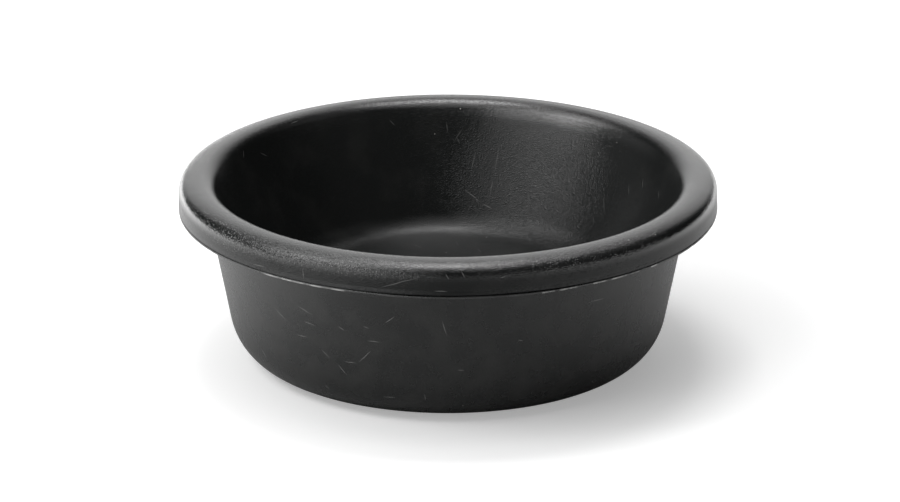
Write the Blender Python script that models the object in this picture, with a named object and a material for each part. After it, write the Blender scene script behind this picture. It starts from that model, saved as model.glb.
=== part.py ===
"""Double-walled animal feeding bowl: a basin with a rolled rim, an outer shell and a foot ring.

Every piece is turned about the Z axis. The bowl stands on the plane z = 0, centred on the origin.
"""
import math

import bmesh
import bpy

# Overall size
BOWL_DIAMETER = 0.300
BOWL_HEIGHT = 0.104

# Rim, which is part of the basin
RIM_WIDTH = 0.0220
RIM_DEPTH = 0.0170
MOUTH_SHOULDER = 0.0095
CROWN_RADIUS = 0.0200
OUTER_SHOULDER = 0.0065
ROLL_INSET = 0.0004
WAIST_INSET = 0.0007
WAIST_HEIGHT = 0.0030
SKIRT_EDGE_ROUND = 0.0004

# Basin
BASIN_WALL = 0.0030
BASIN_SLOPE = math.radians(60.6)
FLOOR_HEIGHT = 0.0360
FLOOR_FILLET = 0.0200

# Outer shell
SHELL_WALL = 0.0028
SHELL_LEAN = math.radians(10.94)
SHELL_SETBACK = 0.0055
CORNER_WIDTH = 0.0247
CORNER_HEIGHT = 0.0292
FLANGE_ROOT = 0.0022
LIP_THICKNESS = 0.0013
LIP_ROUND = 0.0003
PANEL_RISE = 0.0010
PANEL_RAMP = 0.0012
DRAIN_DIAMETER = 0.0050

# Seam between basin and shell, hidden in the rim's channel
SEAM_GAP = 0.0006
TONGUE_THICKNESS = 0.0022
TONGUE_HEIGHT = 0.0058
TONGUE_CHAMFER = 0.0006
SNAP_BEAD = 0.0006
SNAP_HEIGHT = 0.0018
RIB_THICKNESS = 0.0020

# Support that carries the raised floor
SUPPORT_DIAMETER = 0.1120
SUPPORT_WALL = 0.0026
LOCATOR_DEPTH = 0.0040
LOCATOR_WALL = 0.0024

# Foot ring
FOOT_WIDTH = 0.0056
FOOT_STAND = 0.0010
FOOT_GROOVE = 0.0022
FOOT_INSET = 0.0040
FOOT_ROUND = 0.0009

# Clearance between pieces that seat on each other
FIT_GAP = 0.0003

# Faceting
TURN_STEPS = 72
ARC_STEPS = 6
SMALL_ARC_STEPS = 3
WELD_DISTANCE = 0.000001
SHARP_ANGLE = math.radians(35)


# Radii and heights that the pieces share
OUTER_RADIUS = BOWL_DIAMETER / 2
MOUTH_RADIUS = OUTER_RADIUS - RIM_WIDTH
SEAM_HEIGHT = BOWL_HEIGHT - RIM_DEPTH
FLANGE_TOP = SEAM_HEIGHT - SEAM_GAP
RIB_FOOT = FLANGE_TOP + FIT_GAP
SHELL_TOP_RADIUS = MOUTH_RADIUS + SHELL_SETBACK
FLOOR_UNDERSIDE = FLOOR_HEIGHT - BASIN_WALL
SUPPORT_RADIUS = SUPPORT_DIAMETER / 2


def arc(centre, width, height, start, end, steps):
    """Points (radius, height) along an elliptical arc, both ends included; angles in radians."""
    points = []
    for i in range(steps + 1):
        angle = start + (end - start) * i / steps
        points.append((centre[0] + width * math.cos(angle), centre[1] + height * math.sin(angle)))
    return points


def ease(start, end, steps):
    """Points between two ends, the radius easing in and out; the first end is left out."""
    points = []
    for i in range(1, steps + 1):
        share = i / steps
        swing = (1 - math.cos(math.pi * share)) / 2
        points.append((start[0] + (end[0] - start[0]) * swing, start[1] + (end[1] - start[1]) * share))
    return points


def basin_centres():
    """Centres of the floor fillet and of the mouth shoulder, which the straight wall is tangent to."""
    mouth = (MOUTH_RADIUS + MOUTH_SHOULDER, BOWL_HEIGHT - MOUTH_SHOULDER)
    wall_top = (mouth[0] - MOUTH_SHOULDER * math.sin(BASIN_SLOPE),
                mouth[1] + MOUTH_SHOULDER * math.cos(BASIN_SLOPE))
    wall_foot_height = FLOOR_HEIGHT + FLOOR_FILLET * (1 - math.cos(BASIN_SLOPE))
    wall_foot_radius = wall_top[0] - (wall_top[1] - wall_foot_height) / math.tan(BASIN_SLOPE)
    floor_radius = wall_foot_radius - FLOOR_FILLET * math.sin(BASIN_SLOPE)
    return (floor_radius, FLOOR_HEIGHT + FLOOR_FILLET), mouth


def rim_arcs(inset, crown_steps, shoulder_steps):
    """Crown and outer shoulder of the rim, two arcs that flow into each other, inset from the outer face."""
    apex = MOUTH_RADIUS + MOUTH_SHOULDER
    reach = OUTER_RADIUS - ROLL_INSET - OUTER_SHOULDER - apex
    meeting = math.acos(reach / (CROWN_RADIUS - OUTER_SHOULDER))
    crown = (apex, BOWL_HEIGHT - CROWN_RADIUS)
    shoulder = (apex + reach, crown[1] + (CROWN_RADIUS - OUTER_SHOULDER) * math.sin(meeting))
    crown_radius = CROWN_RADIUS - inset
    shoulder_radius = OUTER_SHOULDER - inset
    points = arc(crown, crown_radius, crown_radius, math.pi / 2, meeting, crown_steps)
    points += arc(shoulder, shoulder_radius, shoulder_radius, meeting, 0, shoulder_steps)[1:]
    return points


def rim_face():
    """Outer face of the rim from its apex: crown, outer shoulder, slight waist and flared skirt edge."""
    waist = (OUTER_RADIUS - WAIST_INSET, SEAM_HEIGHT + WAIST_HEIGHT)
    flare = (OUTER_RADIUS, SEAM_HEIGHT + SKIRT_EDGE_ROUND)
    points = rim_arcs(0, SMALL_ARC_STEPS, ARC_STEPS - 1)[1:]
    points += ease(points[-1], waist, SMALL_ARC_STEPS)
    points += ease(waist, flare, SMALL_ARC_STEPS - 1)
    points.append((OUTER_RADIUS - SKIRT_EDGE_ROUND, SEAM_HEIGHT))
    return points


def rim_channel(mouth):
    """Underside of the rim: skirt, roof and the hooked rib that snaps over the shell's tongue."""
    hook_inside = SHELL_TOP_RADIUS + FIT_GAP
    rib_inside = hook_inside + SNAP_BEAD
    rib_outside = rib_inside + RIB_THICKNESS
    hook_top = RIB_FOOT + SNAP_HEIGHT
    shoulder = MOUTH_SHOULDER - BASIN_WALL
    rib_inside_angle = math.acos(max(-1.0, min(0.0, (rib_inside - mouth[0]) / shoulder)))
    points = [(OUTER_RADIUS - ROLL_INSET - BASIN_WALL, SEAM_HEIGHT)]
    points += reversed(rim_arcs(BASIN_WALL, 1, SMALL_ARC_STEPS - 1))
    points += [(rib_outside, BOWL_HEIGHT - BASIN_WALL), (rib_outside, RIB_FOOT), (hook_inside, RIB_FOOT)]
    points += [(hook_inside, hook_top), (rib_inside, hook_top + SNAP_BEAD)]
    points += arc(mouth, shoulder, shoulder, rib_inside_angle, math.pi / 2 + BASIN_SLOPE, SMALL_ARC_STEPS)
    return points


def basin_outline():
    """Section of the basin, from the middle of its floor over the rim and back underneath."""
    fillet, mouth = basin_centres()
    locator_inside = SUPPORT_RADIUS + FIT_GAP
    locator_outside = locator_inside + LOCATOR_WALL
    locator_foot = FLOOR_UNDERSIDE - LOCATOR_DEPTH
    wall_angle = BASIN_SLOPE - math.pi / 2
    points = [(0, FLOOR_HEIGHT)]
    points += arc(fillet, FLOOR_FILLET, FLOOR_FILLET, -math.pi / 2, wall_angle, ARC_STEPS)
    points += arc(mouth, MOUTH_SHOULDER, MOUTH_SHOULDER, math.pi / 2 + BASIN_SLOPE, math.pi / 2, ARC_STEPS)
    points += rim_face()
    points += rim_channel(mouth)
    points += arc(fillet, FLOOR_FILLET + BASIN_WALL, FLOOR_FILLET + BASIN_WALL,
                  wall_angle, -math.pi / 2, SMALL_ARC_STEPS + 1)
    points += [(locator_outside, FLOOR_UNDERSIDE), (locator_outside, locator_foot)]
    points += [(locator_inside, locator_foot), (locator_inside, FLOOR_UNDERSIDE)]
    points.append((0, FLOOR_UNDERSIDE))
    return points


def shell_corner(inset):
    """Rounded lower corner of the shell, inset from its outer face; runs from the base to the wall."""
    width = CORNER_WIDTH - inset
    height = CORNER_HEIGHT - inset
    outer_end = math.atan(CORNER_HEIGHT / CORNER_WIDTH * math.tan(SHELL_LEAN))
    end = math.atan(height / width * math.tan(SHELL_LEAN))
    flange_root = FLANGE_TOP - FLANGE_ROOT
    outer_end_height = FOOT_STAND + CORNER_HEIGHT * (1 - math.sin(outer_end))
    wall_foot = SHELL_TOP_RADIUS - (flange_root - outer_end_height) * math.tan(SHELL_LEAN)
    centre = (wall_foot - CORNER_WIDTH * math.cos(outer_end), FOOT_STAND + CORNER_HEIGHT)
    return arc(centre, width, height, -math.pi / 2, -end, ARC_STEPS)


def foot_radii():
    """Inner and outer radius of the groove that holds the foot ring."""
    outer = shell_corner(0)[0][0] - FOOT_INSET
    return outer - FOOT_WIDTH - 2 * FIT_GAP, outer


def shell_underside():
    """Underside of the shell: drain hole, raised panel, foot groove, corner and wall."""
    groove_inner, groove_outer = foot_radii()
    panel_radius = groove_inner - FOOT_INSET
    groove_roof = FOOT_STAND + FOOT_GROOVE
    points = [(DRAIN_DIAMETER / 2, FOOT_STAND + PANEL_RISE), (panel_radius - PANEL_RAMP, FOOT_STAND + PANEL_RISE)]
    points += [(panel_radius, FOOT_STAND), (groove_inner, FOOT_STAND), (groove_inner, groove_roof)]
    points += [(groove_outer, groove_roof), (groove_outer, FOOT_STAND)]
    points += shell_corner(0)
    points.append((SHELL_TOP_RADIUS, FLANGE_TOP - FLANGE_ROOT))
    return points


def shell_seam():
    """Top of the shell: the flange with its thin lip, and the tongue with its snap bead."""
    lip_foot = FLANGE_TOP - LIP_THICKNESS
    bead_foot = RIB_FOOT + SNAP_HEIGHT + SNAP_BEAD + FIT_GAP
    tongue_top = FLANGE_TOP + TONGUE_HEIGHT
    tongue_inside = SHELL_TOP_RADIUS - TONGUE_THICKNESS
    points = [(OUTER_RADIUS - LIP_ROUND, lip_foot), (OUTER_RADIUS, lip_foot + LIP_ROUND)]
    points += [(OUTER_RADIUS, FLANGE_TOP - LIP_ROUND), (OUTER_RADIUS - LIP_ROUND, FLANGE_TOP)]
    points += [(SHELL_TOP_RADIUS, FLANGE_TOP), (SHELL_TOP_RADIUS, bead_foot)]
    points += [(SHELL_TOP_RADIUS + SNAP_BEAD, bead_foot + SNAP_BEAD)]
    points += [(SHELL_TOP_RADIUS + SNAP_BEAD, tongue_top - TONGUE_CHAMFER)]
    points += [(SHELL_TOP_RADIUS, tongue_top), (tongue_inside, tongue_top)]
    return points


def shell_inside():
    """Inner face of the shell: wall, corner, the hump over the foot groove and the support ring."""
    groove_inner, groove_outer = foot_radii()
    base_top = FOOT_STAND + SHELL_WALL
    hump_top = base_top + FOOT_GROOVE
    panel_top = base_top + PANEL_RISE
    wall_top_radius = SHELL_TOP_RADIUS - SHELL_WALL / math.cos(SHELL_LEAN)
    points = [(SHELL_TOP_RADIUS - TONGUE_THICKNESS, FLANGE_TOP)]
    points.append((wall_top_radius, FLANGE_TOP - FLANGE_ROOT))
    points += reversed(shell_corner(SHELL_WALL))
    points += [(groove_outer + SHELL_WALL, base_top), (groove_outer + SHELL_WALL, hump_top)]
    points += [(groove_inner - SHELL_WALL, hump_top), (groove_inner - SHELL_WALL, panel_top)]
    points += [(SUPPORT_RADIUS, panel_top), (SUPPORT_RADIUS, FLOOR_UNDERSIDE - FIT_GAP)]
    points += [(SUPPORT_RADIUS - SUPPORT_WALL, FLOOR_UNDERSIDE - FIT_GAP)]
    points += [(SUPPORT_RADIUS - SUPPORT_WALL, panel_top), (DRAIN_DIAMETER / 2, panel_top)]
    return points


def foot_outline():
    """Section of the foot ring: a strip with rounded lower edges, pressed into the groove."""
    groove_inner, groove_outer = foot_radii()
    inner = groove_inner + FIT_GAP
    outer = groove_outer - FIT_GAP
    top = FOOT_STAND + FOOT_GROOVE - FIT_GAP
    points = arc((inner + FOOT_ROUND, FOOT_ROUND), FOOT_ROUND, FOOT_ROUND,
                 math.pi, 1.5 * math.pi, SMALL_ARC_STEPS)
    points += arc((outer - FOOT_ROUND, FOOT_ROUND), FOOT_ROUND, FOOT_ROUND,
                  1.5 * math.pi, 2 * math.pi, SMALL_ARC_STEPS)
    points += [(outer, top), (inner, top)]
    return points


def turn(name, outline, closed, material):
    """Turns a section about the Z axis into a closed solid; an open section starts and ends on it."""
    mesh = bpy.data.meshes.new(name)
    bm = bmesh.new()
    verts = [bm.verts.new((radius, 0, height)) for radius, height in outline]
    edges = [bm.edges.new(pair) for pair in zip(verts, verts[1:])]
    if closed:
        edges.append(bm.edges.new((verts[-1], verts[0])))
    bmesh.ops.spin(bm, geom=verts + edges, cent=(0, 0, 0), axis=(0, 0, 1),
                   angle=2 * math.pi, steps=TURN_STEPS, use_merge=True)
    bmesh.ops.remove_doubles(bm, verts=bm.verts, dist=WELD_DISTANCE)
    bmesh.ops.recalc_face_normals(bm, faces=bm.faces)
    bm.to_mesh(mesh)
    bm.free()
    mesh.shade_smooth()
    mesh.set_sharp_from_angle(angle=SHARP_ANGLE)
    mesh.materials.append(material)
    piece = bpy.data.objects.new(name, mesh)
    bpy.context.collection.objects.link(piece)
    return piece


def moulded_material(name, colour, roughness, specular):
    """Dyed-through moulded material: a Principled BSDF with no metal in it."""
    material = bpy.data.materials.new(name)
    material.use_nodes = True
    shader = material.node_tree.nodes["Principled BSDF"]
    shader.inputs["Base Color"].default_value = colour
    shader.inputs["Metallic"].default_value = 0.0
    shader.inputs["Roughness"].default_value = roughness
    shader.inputs["Specular IOR Level"].default_value = specular
    return material


def basin_plastic():
    """Black plastic with the low sheen of a fine grained mould."""
    return moulded_material("basin_plastic", (0.021, 0.021, 0.022, 1), 0.42, 0.5)


def shell_plastic():
    """The same black plastic, moulded a little duller."""
    return moulded_material("shell_plastic", (0.023, 0.023, 0.024, 1), 0.50, 0.5)


def foot_rubber():
    """Soft black rubber that grips the floor."""
    return moulded_material("foot_rubber", (0.016, 0.016, 0.016, 1), 0.78, 0.35)


def inner_bowl():
    """Basin with its raised floor, rolled rim, skirt and hooked rib."""
    return turn("inner_bowl", basin_outline(), False, basin_plastic())


def outer_shell():
    """Tapered outer shell with its rounded corner, base, seam flange, tongue and floor support."""
    outline = shell_underside() + shell_seam() + shell_inside()
    return turn("outer_shell", outline, True, shell_plastic())


def foot_ring():
    """Non-slip ring in the groove of the base."""
    return turn("foot_ring", foot_outline(), True, foot_rubber())


def clear_scene():
    """Removes whatever the scene holds."""
    for item in list(bpy.data.objects):
        bpy.data.objects.remove(item, do_unlink=True)


def build():
    """Builds the bowl, its pieces carried by one empty at the middle of the foot."""
    clear_scene()
    stand = bpy.data.objects.new("feeding_bowl", None)
    bpy.context.collection.objects.link(stand)
    for piece in (inner_bowl(), outer_shell(), foot_ring()):
        piece.parent = stand


build()
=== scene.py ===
"""Looks of the double-walled feeding bowl: finely turned mouldings, worn black plastic, studio light."""
import math

import bmesh
import bpy
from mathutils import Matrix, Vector, noise


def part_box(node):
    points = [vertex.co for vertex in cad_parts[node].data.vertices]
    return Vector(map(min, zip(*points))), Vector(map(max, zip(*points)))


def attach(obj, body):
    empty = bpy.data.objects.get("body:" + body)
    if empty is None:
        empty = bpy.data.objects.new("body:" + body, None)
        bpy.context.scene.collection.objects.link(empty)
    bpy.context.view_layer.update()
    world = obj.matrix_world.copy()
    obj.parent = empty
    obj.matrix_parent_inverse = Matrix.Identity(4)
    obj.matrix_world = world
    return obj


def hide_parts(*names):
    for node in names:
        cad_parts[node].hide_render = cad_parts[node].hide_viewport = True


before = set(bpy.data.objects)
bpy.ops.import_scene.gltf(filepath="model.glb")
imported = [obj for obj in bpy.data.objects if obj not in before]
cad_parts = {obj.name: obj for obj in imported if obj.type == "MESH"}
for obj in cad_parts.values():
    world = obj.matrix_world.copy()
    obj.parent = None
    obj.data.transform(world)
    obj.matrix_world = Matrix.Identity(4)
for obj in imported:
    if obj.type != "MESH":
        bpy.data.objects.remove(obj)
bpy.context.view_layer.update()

# Sizes read from the frame
basin_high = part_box("inner_bowl")[1]
shell_low, shell_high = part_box("outer_shell")
foot_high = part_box("foot_ring")[1]
OUTER_RADIUS = basin_high.x
BOWL_HEIGHT = basin_high.z
BASE_HEIGHT = shell_low.z
TONGUE_TOP = shell_high.z
FOOT_TOP = foot_high.z
FOOT_RADIUS = foot_high.x

# Basin: rim, skirt, wall and raised floor
RIM_WIDTH = 0.0220
RIM_DEPTH = 0.0170
MOUTH_SHOULDER = 0.0095
CROWN_RADIUS = 0.0200
OUTER_SHOULDER = 0.0065
ROLL_INSET = 0.0004
WAIST_INSET = 0.0003
WAIST_HEIGHT = 0.0030
SKIRT_EDGE_ROUND = 0.0004
BASIN_WALL = 0.0030
BASIN_SLOPE = math.radians(60.6)
FLOOR_HEIGHT = 0.0360
FLOOR_FILLET = 0.0200

# Shell: wall, rounded corner, base and lip
SHELL_WALL = 0.0028
SHELL_LEAN = math.radians(10.94)
SHELL_SETBACK = 0.0055
CORNER_WIDTH = 0.0247
CORNER_HEIGHT = 0.0292
FLANGE_ROOT = 0.0022
LIP_THICKNESS = 0.0013
LIP_ROUND = 0.0004
PANEL_RISE = 0.0010
PANEL_RAMP = 0.0012
DRAIN_RADIUS = 0.0025

# Seam, snap and the rings that meet under the floor
SEAM_GAP = 0.0006
TONGUE_THICKNESS = 0.0022
TONGUE_CHAMFER = 0.0006
SNAP_BEAD = 0.0006
SNAP_HEIGHT = 0.0018
RIB_THICKNESS = 0.0020
SUPPORT_RADIUS = 0.0560
SUPPORT_WALL = 0.0026
LOCATOR_DEPTH = 0.0040
LOCATOR_WALL = 0.0024
FIT_GAP = 0.0003

# Foot ring
FOOT_WIDTH = 0.0056
FOOT_GROOVE = 0.0022
FOOT_INSET = 0.0040
FOOT_ROUND = 0.0009

SEAM_HEIGHT = BOWL_HEIGHT - RIM_DEPTH
FLANGE_TOP = SEAM_HEIGHT - SEAM_GAP
RIB_FOOT = FLANGE_TOP + FIT_GAP
MOUTH_RADIUS = OUTER_RADIUS - RIM_WIDTH
SHELL_TOP_RADIUS = MOUTH_RADIUS + SHELL_SETBACK
FLOOR_UNDERSIDE = FLOOR_HEIGHT - BASIN_WALL

# Fineness of the turned pieces
TURN_STEPS = 288
ARC_STEPS = 14
EDGE_STEPS = 4
FACE_STEP = 0.004
WELD_DISTANCE = 0.000001
SHARP_ANGLE = math.radians(35)
QUARTER = math.pi / 2

# The chart laid over each piece: metres round it at this radius, metres along its section
CHART_RADIUS = 0.1400

# A face whose corners lie further apart than this along the section closes the section's end on its start
SECTION_JUMP = 0.1

# Edges that moulding and trimming left a little out of true
SKIRT_WAVER = 0.00015
SKIRT_WAVER_HEIGHT = 0.0060
SKIRT_WAVER_PITCH = 30.0
LIP_WAVER = 0.0002
LIP_WAVER_PITCH = 45.0
LIP_NICK = 0.0005
LIP_NICK_PITCH = 260.0
LIP_NICK_LEVEL = 0.35
LIP_SEED = 0.37

# The lip lies close under the skirt but sags at the front: degrees round, half its length and its ends
LIP_LIFT = 0.00045
LIP_SAG_AT = 276.0
LIP_SAG_HALF = 12.0
LIP_SAG_EDGE = 14.0


def arc(centre, width, height, start, end, steps=ARC_STEPS):
    """Points (radius, height) along an elliptical arc, both ends included; angles in radians."""
    points = []
    for i in range(steps + 1):
        angle = start + (end - start) * i / steps
        points.append((centre[0] + width * math.cos(angle), centre[1] + height * math.sin(angle)))
    return points


def ease(start, end, steps):
    """Points between two ends, the radius easing in and out; the first end is left out."""
    points = []
    for i in range(1, steps + 1):
        share = i / steps
        swing = (1 - math.cos(math.pi * share)) / 2
        points.append((start[0] + (end[0] - start[0]) * swing, start[1] + (end[1] - start[1]) * share))
    return points


def basin_centres():
    """Centres of the floor fillet and of the mouth shoulder, which the straight wall is tangent to."""
    mouth = (MOUTH_RADIUS + MOUTH_SHOULDER, BOWL_HEIGHT - MOUTH_SHOULDER)
    wall_top = (mouth[0] - MOUTH_SHOULDER * math.sin(BASIN_SLOPE),
                mouth[1] + MOUTH_SHOULDER * math.cos(BASIN_SLOPE))
    wall_foot_height = FLOOR_HEIGHT + FLOOR_FILLET * (1 - math.cos(BASIN_SLOPE))
    wall_foot_radius = wall_top[0] - (wall_top[1] - wall_foot_height) / math.tan(BASIN_SLOPE)
    floor_radius = wall_foot_radius - FLOOR_FILLET * math.sin(BASIN_SLOPE)
    return (floor_radius, FLOOR_HEIGHT + FLOOR_FILLET), mouth


def rim_arcs(inset):
    """Crown and outer shoulder of the rim, two arcs that flow into each other, inset from the face."""
    apex = MOUTH_RADIUS + MOUTH_SHOULDER
    reach = OUTER_RADIUS - ROLL_INSET - OUTER_SHOULDER - apex
    meeting = math.acos(reach / (CROWN_RADIUS - OUTER_SHOULDER))
    crown = (apex, BOWL_HEIGHT - CROWN_RADIUS)
    shoulder = (apex + reach, crown[1] + (CROWN_RADIUS - OUTER_SHOULDER) * math.sin(meeting))
    points = arc(crown, CROWN_RADIUS - inset, CROWN_RADIUS - inset, QUARTER, meeting)
    points += arc(shoulder, OUTER_SHOULDER - inset, OUTER_SHOULDER - inset, meeting, 0)[1:]
    return points


def rim_face():
    """Outer face of the rim: crown, outer shoulder, slight waist and flared skirt edge."""
    waist = (OUTER_RADIUS - WAIST_INSET, SEAM_HEIGHT + WAIST_HEIGHT)
    flare = (OUTER_RADIUS, SEAM_HEIGHT + SKIRT_EDGE_ROUND)
    edge = (OUTER_RADIUS - SKIRT_EDGE_ROUND, SEAM_HEIGHT + SKIRT_EDGE_ROUND)
    points = rim_arcs(0)[1:]
    points += ease(points[-1], waist, ARC_STEPS // 2)
    points += ease(waist, flare, ARC_STEPS // 2)
    points += arc(edge, SKIRT_EDGE_ROUND, SKIRT_EDGE_ROUND, 0, -QUARTER, EDGE_STEPS)[1:]
    return points


def rim_channel(mouth):
    """Underside of the rim: skirt, roof and the hooked rib that snaps over the shell's tongue."""
    hook_inside = SHELL_TOP_RADIUS + FIT_GAP
    rib_inside = hook_inside + SNAP_BEAD
    rib_outside = rib_inside + RIB_THICKNESS
    hook_top = RIB_FOOT + SNAP_HEIGHT
    shoulder = MOUTH_SHOULDER - BASIN_WALL
    outside_angle = math.acos((rib_outside - mouth[0]) / shoulder)
    inside_angle = math.acos((rib_inside - mouth[0]) / shoulder)
    points = [(OUTER_RADIUS - ROLL_INSET - BASIN_WALL, SEAM_HEIGHT)]
    points += reversed(rim_arcs(BASIN_WALL))
    points += [(rib_outside, mouth[1] + shoulder * math.sin(outside_angle)), (rib_outside, RIB_FOOT)]
    points += [(hook_inside, RIB_FOOT), (hook_inside, hook_top), (rib_inside, hook_top + SNAP_BEAD)]
    points += arc(mouth, shoulder, shoulder, inside_angle, QUARTER + BASIN_SLOPE, EDGE_STEPS)
    return points


def basin_section():
    """Section of the basin, from the middle of its floor over the rim and back underneath."""
    fillet, mouth = basin_centres()
    locator_inside = SUPPORT_RADIUS + FIT_GAP
    locator_outside = locator_inside + LOCATOR_WALL
    locator_foot = FLOOR_UNDERSIDE - LOCATOR_DEPTH
    under_fillet = FLOOR_FILLET + BASIN_WALL
    points = [(0, FLOOR_HEIGHT)]
    points += arc(fillet, FLOOR_FILLET, FLOOR_FILLET, -QUARTER, BASIN_SLOPE - QUARTER)
    points += arc(mouth, MOUTH_SHOULDER, MOUTH_SHOULDER, QUARTER + BASIN_SLOPE, QUARTER)
    points += rim_face()
    points += rim_channel(mouth)
    points += arc(fillet, under_fillet, under_fillet, BASIN_SLOPE - QUARTER, -QUARTER)
    points += [(locator_outside, FLOOR_UNDERSIDE), (locator_outside, locator_foot)]
    points += [(locator_inside, locator_foot), (locator_inside, FLOOR_UNDERSIDE)]
    points.append((0, FLOOR_UNDERSIDE))
    return points


def shell_corner(inset):
    """Rounded lower corner of the shell, inset from its outer face; runs from the base to the wall."""
    width = CORNER_WIDTH - inset
    height = CORNER_HEIGHT - inset
    outer_end = math.atan(CORNER_HEIGHT / CORNER_WIDTH * math.tan(SHELL_LEAN))
    end = math.atan(height / width * math.tan(SHELL_LEAN))
    outer_end_height = BASE_HEIGHT + CORNER_HEIGHT * (1 - math.sin(outer_end))
    wall_foot = SHELL_TOP_RADIUS - (FLANGE_TOP - FLANGE_ROOT - outer_end_height) * math.tan(SHELL_LEAN)
    centre = (wall_foot - CORNER_WIDTH * math.cos(outer_end), BASE_HEIGHT + CORNER_HEIGHT)
    return arc(centre, width, height, -QUARTER, -end)


def foot_radii():
    """Inner and outer radius of the groove that holds the foot ring."""
    outer = shell_corner(0)[0][0] - FOOT_INSET
    return outer - FOOT_WIDTH - 2 * FIT_GAP, outer


def shell_underside():
    """Underside of the shell: drain hole, raised panel, foot groove, corner and wall."""
    groove_inner, groove_outer = foot_radii()
    panel_radius = groove_inner - FOOT_INSET
    groove_roof = BASE_HEIGHT + FOOT_GROOVE
    panel_height = BASE_HEIGHT + PANEL_RISE
    points = [(DRAIN_RADIUS, panel_height), (panel_radius - PANEL_RAMP, panel_height)]
    points += [(panel_radius, BASE_HEIGHT), (groove_inner, BASE_HEIGHT), (groove_inner, groove_roof)]
    points += [(groove_outer, groove_roof), (groove_outer, BASE_HEIGHT)]
    points += shell_corner(0)
    points.append((SHELL_TOP_RADIUS, FLANGE_TOP - FLANGE_ROOT))
    return points


def shell_seam():
    """Top of the shell: the flange with its thin lip, and the tongue with its snap bead."""
    lip_radius = OUTER_RADIUS - LIP_ROUND
    bead_foot = RIB_FOOT + SNAP_HEIGHT + SNAP_BEAD + FIT_GAP
    bead_radius = SHELL_TOP_RADIUS + SNAP_BEAD
    lower = (lip_radius, FLANGE_TOP - LIP_THICKNESS + LIP_ROUND)
    upper = (lip_radius, FLANGE_TOP - LIP_ROUND)
    points = arc(lower, LIP_ROUND, LIP_ROUND, -QUARTER, 0, EDGE_STEPS)
    points += arc(upper, LIP_ROUND, LIP_ROUND, 0, QUARTER, EDGE_STEPS)
    points += [(SHELL_TOP_RADIUS, FLANGE_TOP), (SHELL_TOP_RADIUS, bead_foot)]
    points += [(bead_radius, bead_foot + SNAP_BEAD), (bead_radius, TONGUE_TOP - TONGUE_CHAMFER)]
    points += [(SHELL_TOP_RADIUS, TONGUE_TOP), (SHELL_TOP_RADIUS - TONGUE_THICKNESS, TONGUE_TOP)]
    return points


def shell_inside():
    """Inner face of the shell: wall, corner, the hump over the foot groove and the support ring."""
    groove_inner, groove_outer = foot_radii()
    base_top = BASE_HEIGHT + SHELL_WALL
    hump_top = base_top + FOOT_GROOVE
    panel_top = base_top + PANEL_RISE
    support_top = FLOOR_UNDERSIDE - FIT_GAP
    support_inside = SUPPORT_RADIUS - SUPPORT_WALL
    wall_top_radius = SHELL_TOP_RADIUS - SHELL_WALL / math.cos(SHELL_LEAN)
    points = [(SHELL_TOP_RADIUS - TONGUE_THICKNESS, FLANGE_TOP)]
    points.append((wall_top_radius, FLANGE_TOP - FLANGE_ROOT))
    points += reversed(shell_corner(SHELL_WALL))
    points += [(groove_outer + SHELL_WALL, base_top), (groove_outer + SHELL_WALL, hump_top)]
    points += [(groove_inner - SHELL_WALL, hump_top), (groove_inner - SHELL_WALL, panel_top)]
    points += [(SUPPORT_RADIUS, panel_top), (SUPPORT_RADIUS, support_top)]
    points += [(support_inside, support_top), (support_inside, panel_top), (DRAIN_RADIUS, panel_top)]
    return points


def foot_section():
    """Section of the foot ring: a strip with rounded lower edges, pressed into the groove."""
    inner = FOOT_RADIUS - FOOT_WIDTH
    inner_edge = (inner + FOOT_ROUND, FOOT_ROUND)
    outer_edge = (FOOT_RADIUS - FOOT_ROUND, FOOT_ROUND)
    points = arc(inner_edge, FOOT_ROUND, FOOT_ROUND, 2 * QUARTER, 3 * QUARTER, EDGE_STEPS)
    points += arc(outer_edge, FOOT_ROUND, FOOT_ROUND, 3 * QUARTER, 4 * QUARTER, EDGE_STEPS)
    points += [(FOOT_RADIUS, FOOT_TOP), (inner, FOOT_TOP)]
    return points


def filled(section):
    """The section with its long straight runs divided, so that wear and waviness have points to move."""
    points = [section[0]]
    for start, end in zip(section, section[1:]):
        parts = max(1, round(math.dist(start, end) / FACE_STEP))
        for i in range(1, parts + 1):
            share = i / parts
            points.append((start[0] + (end[0] - start[0]) * share, start[1] + (end[1] - start[1]) * share))
    return points


def run_length(section):
    """Metres along a section from its first point to its last."""
    return sum(math.dist(start, end) for start, end in zip(section, section[1:]))


def chart(bm, run):
    """Lays the chart over a turned piece: metres round it against metres along its section."""
    layer = bm.loops.layers.uv.new("chart")
    turn_length = 2 * math.pi * CHART_RADIUS
    for face in bm.faces:
        middle = face.calc_center_median()
        middle_round = math.atan2(middle.y, middle.x) % (2 * math.pi) * CHART_RADIUS
        longest = max(loop.vert[run] for loop in face.loops)
        for loop in face.loops:
            vert = loop.vert
            round_it = math.atan2(vert.co.y, vert.co.x) * CHART_RADIUS
            if vert.co.xy.length < WELD_DISTANCE:
                round_it = middle_round
            round_it += turn_length * round((middle_round - round_it) / turn_length)
            along = vert[run]
            if longest - along > SECTION_JUMP:
                along = longest
            loop[layer].uv = (round_it, along)


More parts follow.
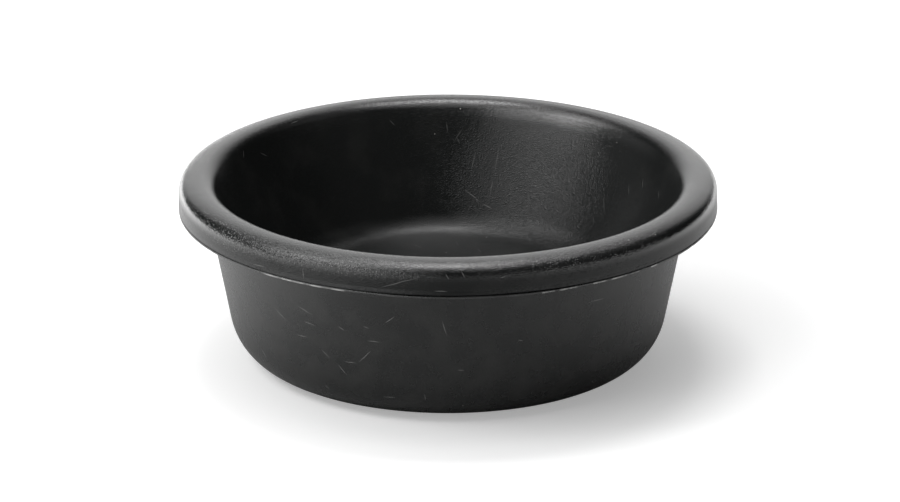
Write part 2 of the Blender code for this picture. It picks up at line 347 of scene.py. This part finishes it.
def turned(name, section, closed, waver=None):
    """Turns a section about the Z axis into one smooth closed mesh, with its chart."""
    bm = bmesh.new()
    run = bm.verts.layers.float.new("run")
    verts = []
    along = 0.0
    last = section[0]
    for point in filled(section):
        along += math.dist(last, point)
        vert = bm.verts.new((point[0], 0, point[1]))
        vert[run] = along
        verts.append(vert)
        last = point
    edges = [bm.edges.new(pair) for pair in zip(verts, verts[1:])]
    if closed:
        edges.append(bm.edges.new((verts[-1], verts[0])))
    bmesh.ops.spin(bm, geom=verts + edges, cent=(0, 0, 0), axis=(0, 0, 1),
                   angle=2 * math.pi, steps=TURN_STEPS, use_merge=True)
    bmesh.ops.remove_doubles(bm, verts=bm.verts, dist=WELD_DISTANCE)
    bmesh.ops.recalc_face_normals(bm, faces=bm.faces)
    chart(bm, run)
    if waver:
        for vert in bm.verts:
            waver(vert)
    mesh = bpy.data.meshes.new(name)
    bm.to_mesh(mesh)
    bm.free()
    mesh.shade_smooth()
    mesh.set_sharp_from_angle(angle=SHARP_ANGLE)
    piece = bpy.data.objects.new(name, mesh)
    bpy.context.scene.collection.objects.link(piece)
    return piece


def drawn_in(vert, amount):
    """Moves a point straight towards the axis."""
    vert.co.xy *= 1 - amount / vert.co.xy.length


def skirt_waver(vert):
    """The skirt's edge isn't quite round: it draws in a little here and there."""
    if vert.co.xy.length > OUTER_RADIUS - BASIN_WALL and vert.co.z < SEAM_HEIGHT + SKIRT_WAVER_HEIGHT:
        fade = 1 - (vert.co.z - SEAM_HEIGHT) / SKIRT_WAVER_HEIGHT
        wave = 0.5 + 0.5 * noise.noise(Vector((vert.co.x, vert.co.y, 0)) * SKIRT_WAVER_PITCH)
        drawn_in(vert, SKIRT_WAVER * fade * wave)


def lip_waver(vert):
    """The shell's lip runs in and out, carries small nicks and sags a little at the front."""
    if vert.co.xy.length > SHELL_TOP_RADIUS + LIP_THICKNESS and vert.co.z > FLANGE_TOP - FLANGE_ROOT:
        spot = Vector((vert.co.x, vert.co.y, LIP_SEED))
        wave = 0.5 + 0.5 * noise.noise(spot * LIP_WAVER_PITCH)
        nick = max(0.0, noise.noise(spot * LIP_NICK_PITCH) - LIP_NICK_LEVEL) / (1 - LIP_NICK_LEVEL)
        drawn_in(vert, LIP_WAVER * wave + LIP_NICK * nick)
        degrees = math.degrees(math.atan2(vert.co.y, vert.co.x)) % 360
        away = min(1.0, max(0.0, (abs(degrees - LIP_SAG_AT) - LIP_SAG_HALF) / LIP_SAG_EDGE))
        outward = (vert.co.xy.length - SHELL_TOP_RADIUS) / (OUTER_RADIUS - SHELL_TOP_RADIUS)
        vert.co.z += LIP_LIFT * outward * away * away * (3 - 2 * away)


def wired(tree, kind, inputs, output, **settings):
    """Adds a node, each input fixed or linked to another node's output, and gives one of its outputs."""
    node = tree.nodes.new("ShaderNode" + kind)
    for key, value in settings.items():
        setattr(node, key, value)
    for key, value in inputs.items():
        if isinstance(value, bpy.types.NodeSocket):
            tree.links.new(value, node.inputs[key])
        else:
            node.inputs[key].default_value = value
    return node.outputs[output]


class Recipe:
    """One material's nodes; each method adds nodes and gives the output that the next one reads."""

    def __init__(self, name):
        """Starts a material whose patterns lie on the piece's body or on its chart."""
        self.material = bpy.data.materials.new(name)
        self.material.use_nodes = True
        self.tree = self.material.node_tree
        self.shader = self.tree.nodes["Principled BSDF"]
        self.body = self.add("TexCoord", {}, "Object")
        self.chart = self.add("UVMap", {}, "UV", uv_map="chart")

    def add(self, kind, inputs, output, **settings):
        """Adds a node to this material and gives one of its outputs."""
        return wired(self.tree, kind, inputs, output, **settings)

    def math(self, operation, first, second=0.0, third=0.0):
        """One sum on up to three values, each a number or an output."""
        return self.add("Math", {0: first, 1: second, 2: third}, "Value", operation=operation)

    def stretched(self, where, size, turn=0.0, shift=(0, 0, 0)):
        """Turns a place about Z, shifts it and measures it in steps of the given size."""
        placing = {"Vector": where, "Rotation": (0, 0, turn), "Location": shift}
        mapped = self.add("Mapping", placing, "Vector")
        scale = tuple(1 / side for side in size)
        return self.add("VectorMath", {0: mapped, 1: scale}, "Vector", operation="MULTIPLY")

    def noise(self, where, size, detail=2.0, roughness=0.5):
        """Cloudy pattern between 0 and 1, with features of about the given size."""
        return self.add("TexNoise", {"Vector": where, "Scale": 1 / size, "Detail": detail,
                                     "Roughness": roughness}, "Fac")

    def bent(self, where, size, amount):
        """A place pushed about by soft noise, so that straight marks come out bent."""
        push = self.add("TexNoise", {"Vector": where, "Scale": 1 / size, "Detail": 1.0}, "Color")
        centred = self.add("VectorMath", {0: push, 1: (0.5, 0.5, 0.5)}, "Vector", operation="SUBTRACT")
        scaled = self.add("VectorMath", {0: centred, "Scale": amount}, "Vector", operation="SCALE")
        return self.add("VectorMath", {0: where, 1: scaled}, "Vector", operation="ADD")

    def fade(self, value, low, high, start=0.0, end=1.0):
        """Smooth change from start to end as the value goes from low to high."""
        return self.add("MapRange", {"Value": value, "From Min": low, "From Max": high, "To Min": start,
                                     "To Max": end}, "Result", interpolation_type="SMOOTHSTEP")

    def band(self, value, low, high, soft):
        """1 between low and high, fading to 0 over the soft length on either side."""
        rise = self.fade(value, low - soft, low)
        return self.math("MULTIPLY", rise, self.fade(value, high, high + soft, 1.0, 0.0))

    def cell_marks(self, where, inner, outer, share):
        """One mark in a share of the cells, fading from the inner to the outer distance from its middle."""
        tree = self.tree
        cells = tree.nodes.new("ShaderNodeTexVoronoi")
        cells.inputs["Scale"].default_value = 1.0
        tree.links.new(where, cells.inputs["Vector"])
        mark = self.fade(cells.outputs["Distance"], inner, outer, 1.0, 0.0)
        picked = self.add("SeparateColor", {"Color": cells.outputs["Color"]}, "Red")
        return self.math("MULTIPLY", mark, self.fade(picked, 1 - share, 1 - share / 2))

    def spot(self, where, degrees, along, half_round, half_along, turn=0.0):
        """Soft oval in the chart, 1 in its middle and 0 at its edge: degrees round, millimetres along."""
        middle = (math.radians(degrees) * CHART_RADIUS, along / 1000, 0)
        local = self.add("Mapping", {"Vector": where, "Location": middle, "Rotation": (0, 0, turn),
                                     "Scale": (half_round, half_along, 1)}, "Vector", vector_type="TEXTURE")
        return self.add("TexGradient", {"Vector": local}, "Fac", gradient_type="SPHERICAL")

    def strokes(self, where, marks, width):
        """Thin tapered scratches, each from one point of the chart to another (degrees, millimetres)."""
        result = None
        for first, first_along, last, last_along in marks:
            across = math.radians(last - first) * CHART_RADIUS
            along = (last_along - first_along) / 1000
            line = self.spot(where, (first + last) / 2, (first_along + last_along) / 2,
                             math.hypot(across, along) / 2 + width, width, math.atan2(along, across))
            result = line if result is None else self.math("MAXIMUM", result, line)
        return result

    def most(self, *values):
        """The largest of several masks."""
        result = values[0]
        for value in values[1:]:
            result = self.math("MAXIMUM", result, value)
        return result

    def blend(self, amount, first, second):
        """Colour between two, each a colour or an output."""
        node = self.tree.nodes.new("ShaderNodeMix")
        node.data_type = "RGBA"
        for key, value in ((0, amount), (6, first), (7, second)):
            if isinstance(value, bpy.types.NodeSocket):
                self.tree.links.new(value, node.inputs[key])
            else:
                node.inputs[key].default_value = value
        return node.outputs[2]

    def bump(self, height, depth, below=None):
        """Raises the surface by depth where the height is 1, on top of another bump."""
        inputs = {"Height": height, "Distance": depth, "Strength": 1.0}
        if below is not None:
            inputs["Normal"] = below
        return self.add("Bump", inputs, "Normal")

    def polish(self, amount, roughness, normal):
        """Adds the shine of a handled surface over the plastic, as strong as the amount."""
        self.tree.links.new(amount, self.shader.inputs["Coat Weight"])
        self.tree.links.new(normal, self.shader.inputs["Coat Normal"])
        self.shader.inputs["Coat Roughness"].default_value = roughness

    def finish(self, colour, roughness, normal, specular):
        """Feeds the shader and gives the finished material."""
        self.tree.links.new(colour, self.shader.inputs["Base Color"])
        self.tree.links.new(roughness, self.shader.inputs["Roughness"])
        self.tree.links.new(normal, self.shader.inputs["Normal"])
        self.shader.inputs["Specular IOR Level"].default_value = specular
        return self.material


# Black plastic, the dust on it, what marks it and painted highlight; black rubber and its dust
BASIN_BLACK = (0.0105, 0.0112, 0.0110, 1)
SHELL_BLACK = (0.0135, 0.0144, 0.0141, 1)
BASIN_DUST = (0.0150, 0.0155, 0.0150, 1)
SHELL_DUST = (0.0220, 0.0226, 0.0218, 1)
# Pale of scratches, also used for painted highlight on the rim's grains
SCRATCH_AND_HIGHLIGHT_PALE = (0.1600, 0.1600, 0.1570, 1)
SPECK = (0.3600, 0.3500, 0.3300, 1)
# Painted highlight on the shell's lip
LIP_HIGHLIGHT_PALE = (0.4200, 0.4200, 0.4100, 1)
RUBBER_BLACK = (0.0140, 0.0140, 0.0140, 1)
RUBBER_DUST = (0.0400, 0.0390, 0.0360, 1)

# Shine, and roughness from the smoother to the duller patches
BASIN_SHINE = 0.28
SHELL_SHINE = 0.70
RUBBER_SHINE = 0.35
BASIN_ROUGHNESS = (0.15, 0.20)
SHELL_ROUGHNESS = (0.25, 0.31)
RUBBER_ROUGHNESS = (0.62, 0.82)
SCRATCH_ROUGHNESS = 0.15

# The rim is polished by hands, from a little above the skirt's edge upwards
POLISH_FOOT = 0.0060
POLISH_TOP = 0.0120
POLISH_WEIGHT = 0.84
POLISH_ROUGHNESS = 0.17

# Patches: their size, the levels of the pattern between which dust comes in, and a pattern's middle levels;
# on the rubber also how dusty it is at the first level and at the last
BASIN_PATCH = 0.020
SHELL_PATCH = 0.016
RUBBER_PATCH = 0.012
BASIN_DUSTY = (0.45, 0.80)
SHELL_DUSTY = (0.35, 0.75)
RUBBER_DUSTY = (0.4, 0.7, 0.0, 0.6)
MIDDLE_LEVELS = (0.3, 0.7)

# Leather grain of the mould, and the slow swell of a moulded wall under it
GRAIN = 0.0010
PORE = 0.0005
PORE_HEIGHT = 0.10
GRAIN_BEND = (0.0030, 0.0012)
BASIN_GRAIN_STRETCH = 1.8
SHELL_GRAIN_STRETCH = 1.2
BASIN_GRAIN_DEPTH = 0.00050
SHELL_GRAIN_DEPTH = 0.00026
SWELL = 0.035
SWELL_DEPTH = 0.00025
RUBBER_PORE = 0.0006
RUBBER_PORE_DEPTH = 0.00006

# Where the basin's grain is coarse: degrees round, millimetres along the section, and half the place's
# length and width in metres; then how soft its edge is, and the depth of the grain elsewhere
COARSE_PLACES = ((240.0, 187.0, 0.090, 0.0110), (298.0, 186.0, 0.080, 0.0100), (62.0, 122.0, 0.095, 0.0420))
COARSE_EDGE = 0.5
FINE_GRAIN = 0.45

# Grit and hand-paled grain on the rim, partly painted highlight: how strong, and where, as above; the first
# place lies at a slant
GRIT_AND_HIGHLIGHT_PLACES = ((1.0, (212.5, 187.0, 0.040, 0.0090, 0.10)), (0.7, (242.0, 188.5, 0.070, 0.0045)),
               (0.25, (300.0, 186.5, 0.060, 0.0040)))
GRIT_EDGE = 0.4

# A grain: the side of its cell, its core and edge in the cell, the share of cells with one, and its looks
# (its paleness partly painted highlight)
GRIT_CELL = 0.0012
GRIT_MARK = (0.10, 0.45, 0.8)
GRIT_PALE_AND_HIGHLIGHT = 0.65
GRIT_HEIGHT = 0.3

# Dried specks: the side of a cell, the share of cells with one, and a speck's core and edge in its cell
BASIN_SPECK_CELL = 0.0075
BASIN_SPECK_SHARE = 0.20
SHELL_SPECK_CELL = 0.0085
SHELL_SPECK_SHARE = 0.16
SPECK_CORE = 0.02
SPECK_EDGE = 0.055

# Scratches: width, how they bend (pitch and swing), and how they fade in and how pale they get
SCRATCH_WIDTH = 0.00040
HAIRLINE_WIDTH = 0.00050
SCRATCH_BEND = (0.012, 0.0016)
BASIN_SCRATCH_PALE = (0.0, 0.8, 0.0, 0.55)
SHELL_SCRATCH_PALE = (0.0, 0.8, 0.0, 0.75)
HAIRLINE_PALE = (0.0, 1.0, 0.0, 0.35)

# Places of painted highlight on the lip: degrees round, metres to either side
LIP_HIGHLIGHT_FLASHES = ((233.0, 0.012), (237.0, 0.024), (245.0, 0.010), (291.0, 0.004), (295.5, 0.006),
               (303.0, 0.005), (308.0, 0.006), (312.0, 0.005), (318.0, 0.003))

# Their middle in millimetres past the lip's start, half width and soft edge; how much painted highlight the
# rest of the lip gets; and the pitch and the levels of what breaks the painted highlight up
LIP_MIDDLE = 0.8
LIP_FLASH_HALF = 0.0050
LIP_FLASH_EDGE = 0.4
LIP_HIGHLIGHT_REST = 0.05
LIP_BREAK = 0.014
LIP_BROKEN = (0.30, 0.62)

# Scratches as seen, each from one point to another: degrees round, millimetres along the section
BASIN_SCRATCHES = (
    (255.1, 196.9, 264.4, 189.1), (267.0, 196.1, 270.2, 196.9), (225.0, 197.0, 229.1, 196.6),
    (238.6, 190.7, 239.0, 198.1), (269.5, 187.0, 270.2, 190.2), (272.8, 185.8, 273.6, 189.4),
    (280.6, 190.2, 282.0, 189.5), (318.3, 182.9, 321.4, 182.0), (172.9, 172.3, 166.8, 173.7),
    (178.1, 173.3, 186.6, 172.3), (186.1, 183.1, 198.5, 187.2), (133.5, 167.0, 130.5, 167.6),
    (85.6, 117.3, 79.0, 108.9), (79.0, 108.9, 74.9, 105.8), (154.0, 163.3, 155.4, 158.9),
)
BASIN_HAIRLINES = (
    (75.4, 145.8, 76.3, 125.6), (76.3, 125.6, 76.9, 108.7), (82.0, 140.7, 83.3, 125.9),
    (88.5, 143.4, 86.0, 153.0), (87.6, 147.2, 86.8, 143.5), (37.2, 126.8, 33.5, 117.7),
    (29.3, 140.5, 26.2, 133.5), (24.2, 147.3, 21.6, 141.2), (12.8, 147.8, 9.2, 143.7),
    (148.1, 157.6, 145.5, 153.7), (105.5, 159.2, 104.1, 154.9), (90.5, 156.7, 90.1, 149.1),
    (87.4, 80.3, 84.5, 68.5), (76.9, 70.0, 70.5, 59.5), (106.2, 78.2, 101.9, 66.4),
)
SHELL_SCRATCHES = (
    (222.1, 170.1, 226.8, 163.2), (230.2, 176.1, 235.7, 172.4), (232.2, 167.0, 236.0, 165.8),
    (228.8, 157.2, 233.1, 157.0), (242.3, 168.8, 244.2, 166.4), (249.2, 171.4, 250.7, 170.3),
    (254.6, 174.8, 257.6, 179.8), (249.8, 162.4, 253.5, 162.8), (212.9, 137.8, 214.4, 132.6),
    (236.5, 151.5, 239.0, 147.0), (242.8, 146.8, 246.8, 147.3), (246.8, 147.3, 250.9, 156.7),
    (241.0, 144.7, 243.6, 138.5), (235.8, 128.6, 236.7, 126.0), (268.4, 179.6, 269.8, 168.1),
    (252.6, 126.9, 256.3, 127.3), (264.0, 131.2, 264.1, 126.2), (305.2, 179.7, 311.4, 179.9),
    (287.3, 163.6, 288.6, 162.9), (272.4, 147.0, 274.0, 146.6), (311.2, 126.7, 312.5, 124.4),
)


def leather(recipe, stretch):
    """Grain of the mould: small wrinkles, longer round the bowl than up it, with fine pores in them."""
    wrinkled = recipe.bent(recipe.chart, *GRAIN_BEND)
    wrinkles = recipe.noise(recipe.stretched(wrinkled, (GRAIN * stretch, GRAIN, 1.0)), 1.0, 1.0)
    ridges = recipe.math("ABSOLUTE", recipe.math("SUBTRACT", wrinkles, 0.5))
    pores = recipe.noise(recipe.body, PORE, 1.0)
    return recipe.math("MULTIPLY_ADD", pores, PORE_HEIGHT, ridges)


def swell(recipe):
    """Slow unevenness of a moulded wall."""
    return recipe.bump(recipe.noise(recipe.body, SWELL, 1.0), SWELL_DEPTH)


def specks(recipe, cell, share):
    """Dried specks, one in each of a share of the cells."""
    return recipe.cell_marks(recipe.stretched(recipe.body, (cell,) * 3), SPECK_CORE, SPECK_EDGE, share)


def roughened(recipe, patches, levels, scratches):
    """Roughness that changes from patch to patch and rises in the scratches."""
    smooth = recipe.fade(patches, *MIDDLE_LEVELS, *levels)
    return recipe.math("MULTIPLY_ADD", scratches, SCRATCH_ROUGHNESS, smooth)


def grit_and_highlight(recipe):
    """Pale grains where dirt sits on the rim and where hands have worn the top of its grain; on the outer
    shoulder the paleness is partly painted highlight.
    """
    grains = recipe.cell_marks(recipe.stretched(recipe.body, (GRIT_CELL,) * 3), *GRIT_MARK)
    places = [recipe.math("MULTIPLY", recipe.spot(recipe.chart, *place), strength)
              for strength, place in GRIT_AND_HIGHLIGHT_PLACES]
    return recipe.math("MULTIPLY", grains, recipe.fade(recipe.most(*places), 0.0, GRIT_EDGE))


def basin_black():
    """Basin: black plastic with leather grain, polished rim, pale grains of dirt and wear that also paint
    highlight, scratches, dust and dried specks.
    """
    recipe = Recipe("basin_black")
    bent_chart = recipe.bent(recipe.chart, *SCRATCH_BEND)
    patches = recipe.noise(recipe.body, BASIN_PATCH, 2.0)
    scratches = recipe.fade(recipe.strokes(bent_chart, BASIN_SCRATCHES, SCRATCH_WIDTH), *BASIN_SCRATCH_PALE)
    hairlines = recipe.fade(recipe.strokes(bent_chart, BASIN_HAIRLINES, HAIRLINE_WIDTH), *HAIRLINE_PALE)
    grains = grit_and_highlight(recipe)
    colour = recipe.blend(recipe.fade(patches, *BASIN_DUSTY), BASIN_BLACK, BASIN_DUST)
    # Pale grains on the rim: dirt and wear, and partly painted highlight on the outer shoulder
    colour = recipe.blend(recipe.math("MULTIPLY", grains, GRIT_PALE_AND_HIGHLIGHT), colour, SCRATCH_AND_HIGHLIGHT_PALE)
    colour = recipe.blend(recipe.most(scratches, hairlines), colour, SCRATCH_AND_HIGHLIGHT_PALE)
    colour = recipe.blend(specks(recipe, BASIN_SPECK_CELL, BASIN_SPECK_SHARE), colour, SPECK)
    roughness = roughened(recipe, patches, BASIN_ROUGHNESS, scratches)
    coarse = recipe.most(*(recipe.spot(recipe.chart, *place) for place in COARSE_PLACES))
    coarse = recipe.fade(coarse, 0.0, COARSE_EDGE, FINE_GRAIN, 1.0)
    grain = recipe.math("MULTIPLY_ADD", grains, GRIT_HEIGHT, leather(recipe, BASIN_GRAIN_STRETCH))
    normal = recipe.bump(recipe.math("MULTIPLY", grain, coarse), BASIN_GRAIN_DEPTH, swell(recipe))
    height = recipe.add("SeparateXYZ", {0: recipe.body}, "Z")
    polished = recipe.fade(height, SEAM_HEIGHT + POLISH_FOOT, SEAM_HEIGHT + POLISH_TOP, 0.0, POLISH_WEIGHT)
    recipe.polish(polished, POLISH_ROUGHNESS, normal)
    return recipe.finish(colour, roughness, normal, BASIN_SHINE)


def lip_highlight(recipe):
    """Painted highlight on the shell's lip: most on the left of the front, elsewhere in short flashes."""
    along = recipe.add("SeparateXYZ", {0: recipe.chart}, "Y")
    lip_start = run_length(shell_underside() + shell_seam()[:1])
    lip_middle = 1000 * lip_start + LIP_MIDDLE
    edge = recipe.band(along, lip_start + LIP_ROUND, lip_start + LIP_THICKNESS - LIP_ROUND, LIP_ROUND)
    broken = recipe.noise(recipe.stretched(recipe.chart, (LIP_BREAK, 1.0, 1.0)), 1.0, 4.0, 0.7)
    flashes = [recipe.spot(recipe.chart, degrees, lip_middle, half_length, LIP_FLASH_HALF)
               for degrees, half_length in LIP_HIGHLIGHT_FLASHES]
    highlight_share = recipe.math("MAXIMUM", recipe.fade(recipe.most(*flashes), 0.0, LIP_FLASH_EDGE), LIP_HIGHLIGHT_REST)
    highlight_edge = recipe.math("MULTIPLY", edge, recipe.fade(broken, *LIP_BROKEN))
    return recipe.math("MULTIPLY", highlight_edge, highlight_share)


def shell_black():
    """Shell: the same plastic a little duller, scratched by handling, its lip paled by painted highlight.
    """
    recipe = Recipe("shell_black")
    bent_chart = recipe.bent(recipe.chart, *SCRATCH_BEND)
    patches = recipe.noise(recipe.body, SHELL_PATCH, 3.0)
    scratches = recipe.fade(recipe.strokes(bent_chart, SHELL_SCRATCHES, SCRATCH_WIDTH), *SHELL_SCRATCH_PALE)
    colour = recipe.blend(recipe.fade(patches, *SHELL_DUSTY), SHELL_BLACK, SHELL_DUST)
    colour = recipe.blend(scratches, colour, SCRATCH_AND_HIGHLIGHT_PALE)
    colour = recipe.blend(specks(recipe, SHELL_SPECK_CELL, SHELL_SPECK_SHARE), colour, SPECK)
    # Painted highlight along the lip's edge
    colour = recipe.blend(lip_highlight(recipe), colour, LIP_HIGHLIGHT_PALE)
    roughness = roughened(recipe, patches, SHELL_ROUGHNESS, scratches)
    normal = recipe.bump(leather(recipe, SHELL_GRAIN_STRETCH), SHELL_GRAIN_DEPTH, swell(recipe))
    return recipe.finish(colour, roughness, normal, SHELL_SHINE)


def foot_black():
    """Foot ring: matt black rubber with fine pores and patches of dust."""
    recipe = Recipe("foot_black")
    pores = recipe.noise(recipe.body, RUBBER_PORE, 3.0, 0.6)
    patches = recipe.noise(recipe.body, RUBBER_PATCH, 3.0)
    colour = recipe.blend(recipe.fade(patches, *RUBBER_DUSTY), RUBBER_BLACK, RUBBER_DUST)
    roughness = recipe.fade(pores, *MIDDLE_LEVELS, *RUBBER_ROUGHNESS)
    return recipe.finish(colour, roughness, recipe.bump(pores, RUBBER_PORE_DEPTH), RUBBER_SHINE)


def seat(piece, node, material):
    """Puts a finished piece in the place of its CAD node."""
    piece.data.materials.append(material)
    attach(piece, "root")
    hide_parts(node)


seat(turned("basin", basin_section(), False, skirt_waver), "inner_bowl", basin_black())
shell_section = shell_underside() + shell_seam() + shell_inside()
seat(turned("shell", shell_section, True, lip_waver), "outer_shell", shell_black())
seat(turned("foot", foot_section(), True), "foot_ring", foot_black())


# Floor, camera and lamps
FLOOR_SIZE = 16.0
FLOOR_WHITE = 0.340
FLOOR_COLOUR = 0.9
FLOOR_ROUGHNESS = 0.9
FLOOR_SHINE = 0.1
AIM = Vector((0.00112, 0, 0.05828))
CAMERA_LENS = 220
CAMERA_SENSOR = 36
CAMERA_REACH = 50
CAMERA_DISTANCE = 3.0741
CAMERA_ELEVATION = math.radians(19.875)
LAMP_DISTANCE = 2.2
LAMP_CENTRE = Vector((0, 0, 0.05))

# Soft boxes: degrees round the bowl from its back towards its right, degrees up, width, height, watts
LAMPS = {
    "left_strip": (258, 41, 0.9, 0.5, 7.5),
    "overhead_strip": (0, 80, 0.9, 0.3, 10.0),
    "left_box": (270, 50, 1.2, 0.9, 6.5),
    "left_front_box": (230, 50, 1.2, 0.9, 10.0),
    "back_high_box": (0, 68, 1.0, 0.4, 5.0),
    "back_top_box": (0, 68, 1.6, 1.5, 2.0),
    "left_high_box": (270, 75, 1.0, 0.8, 4.0),
    "top_box": (180, 80, 1.2, 0.8, 4.5),
    "front_box": (180, 62, 1.0, 0.5, 1.2),
    "left_back_box": (290, 58, 0.8, 0.5, 2.5),
    "back_box": (0, 42, 1.2, 0.5, 1.4),
    "right_high_box": (90, 75, 1.0, 0.8, 1.3),
    "right_box": (90, 50, 1.2, 0.9, 0.6),
}

# Pale parts of the studio round the bowl: degrees round, degrees up, strength
SURROUND = ((225, 5, 1.44), (0, 35, 0.61), (0, 5, 0.46), (270, 5, 0.32), (135, 5, 0.10))
SURROUND_REACH = math.radians(42)

# Painted reflection in the shiny plastic: the floor as gloss rays see it, painted darker and glowing on its
# left and right
FLOOR_GLOSS_SHADE = 0.35
FLOOR_LEFT_GLOW = 2.30
FLOOR_RIGHT_GLOW = 1.15
FLOOR_NEAR = 0.05
FLOOR_FAR = 0.60


def aimed(azimuth, elevation):
    """Direction from the bowl towards a lamp or a part of the studio."""
    level = math.cos(math.radians(elevation))
    around = math.radians(azimuth)
    return Vector((math.sin(around) * level, math.cos(around) * level, math.sin(math.radians(elevation))))


def studio_floor():
    """Plain white floor that keeps the bowl's shadow; to gloss rays it is painted darker, with a painted
    glow at the sides, dim in front.
    """
    bpy.ops.mesh.primitive_plane_add(size=FLOOR_SIZE)
    ground = bpy.context.object
    ground.name = "floor"
    material = bpy.data.materials.new("floor_white")
    material.use_nodes = True
    tree = material.node_tree
    shader = tree.nodes["Principled BSDF"]
    shader.inputs["Roughness"].default_value = FLOOR_ROUGHNESS
    shader.inputs["Specular IOR Level"].default_value = FLOOR_SHINE
    shader.inputs["Emission Color"].default_value = (1, 1, 1, 1)
    gloss = wired(tree, "LightPath", {}, "Is Glossy Ray")
    seen = wired(tree, "LightPath", {}, "Is Camera Ray")
    side = wired(tree, "SeparateXYZ", {0: wired(tree, "TexCoord", {}, "Object")}, "X")
    # Painted reflection: a glow on the floor's left and right that only gloss rays see
    left = wired(tree, "MapRange", {"Value": side, "From Min": -FLOOR_NEAR, "From Max": -FLOOR_FAR,
                                    "To Max": FLOOR_LEFT_GLOW}, "Result", interpolation_type="SMOOTHSTEP")
    right = wired(tree, "MapRange", {"Value": side, "From Min": FLOOR_NEAR, "From Max": FLOOR_FAR,
                                     "To Max": FLOOR_RIGHT_GLOW}, "Result", interpolation_type="SMOOTHSTEP")
    side_glows = wired(tree, "Math", {0: left, 1: right}, "Value", operation="ADD")
    glow = wired(tree, "Math", {0: side_glows, 1: gloss}, "Value", operation="MULTIPLY")
    white = wired(tree, "Math", {0: seen, 1: FLOOR_WHITE, 2: glow}, "Value", operation="MULTIPLY_ADD")
    tree.links.new(white, shader.inputs["Emission Strength"])
    # Painted shade: gloss rays see the floor darker
    shade = wired(tree, "MapRange", {"Value": gloss, "To Min": FLOOR_COLOUR, "To Max": FLOOR_GLOSS_SHADE},
                  "Result")
    tree.links.new(shade, shader.inputs["Base Color"])
    ground.data.materials.append(material)


def lamp(name, azimuth, elevation, width, height, power):
    """Soft box aimed at the bowl."""
    data = bpy.data.lights.new(name, "AREA")
    data.shape = "RECTANGLE"
    data.size = width
    data.size_y = height
    data.energy = power
    light = bpy.data.objects.new(name, data)
    away = aimed(azimuth, elevation)
    light.location = LAMP_CENTRE + away * LAMP_DISTANCE
    light.rotation_euler = away.to_track_quat("Z", "Y").to_euler()
    bpy.context.scene.collection.objects.link(light)


def camera():
    """Camera at the photograph's viewing angle."""
    data = bpy.data.cameras.new("camera")
    data.lens = CAMERA_LENS
    data.sensor_width = CAMERA_SENSOR
    data.clip_end = CAMERA_REACH
    shot = bpy.data.objects.new("camera", data)
    back = Vector((0, -math.cos(CAMERA_ELEVATION), math.sin(CAMERA_ELEVATION)))
    shot.location = AIM + back * CAMERA_DISTANCE
    shot.rotation_euler = back.to_track_quat("Z", "Y").to_euler()
    bpy.context.scene.collection.objects.link(shot)
    bpy.context.scene.camera = shot


def surround():
    """Studio with a few pale parts round the bowl; the camera sees all of it white."""
    studio = bpy.data.worlds.new("studio")
    bpy.context.scene.world = studio
    studio.use_nodes = True
    tree = studio.node_tree
    background = tree.nodes["Background"]
    background.inputs["Color"].default_value = (1, 1, 1, 1)
    direction = wired(tree, "TexCoord", {}, "Generated")
    total = 0.0
    for azimuth, elevation, strength in SURROUND:
        facing = wired(tree, "VectorMath", {0: direction, 1: aimed(azimuth, elevation)}, "Value",
                       operation="DOT_PRODUCT")
        glow = wired(tree, "MapRange", {"Value": facing, "From Min": math.cos(SURROUND_REACH),
                                        "From Max": 1.0, "To Max": strength}, "Result",
                     interpolation_type="SMOOTHSTEP")
        total = wired(tree, "Math", {0: glow, 1: total}, "Value", operation="ADD")
    seen = wired(tree, "LightPath", {}, "Is Camera Ray")
    strength = wired(tree, "Math", {0: seen, 1: total}, "Value", operation="MAXIMUM")
    tree.links.new(strength, background.inputs["Strength"])


studio_floor()
for lamp_name, settings in LAMPS.items():
    lamp(lamp_name, *settings)
camera()
surround()
bpy.context.scene.view_settings.view_transform = "Standard"
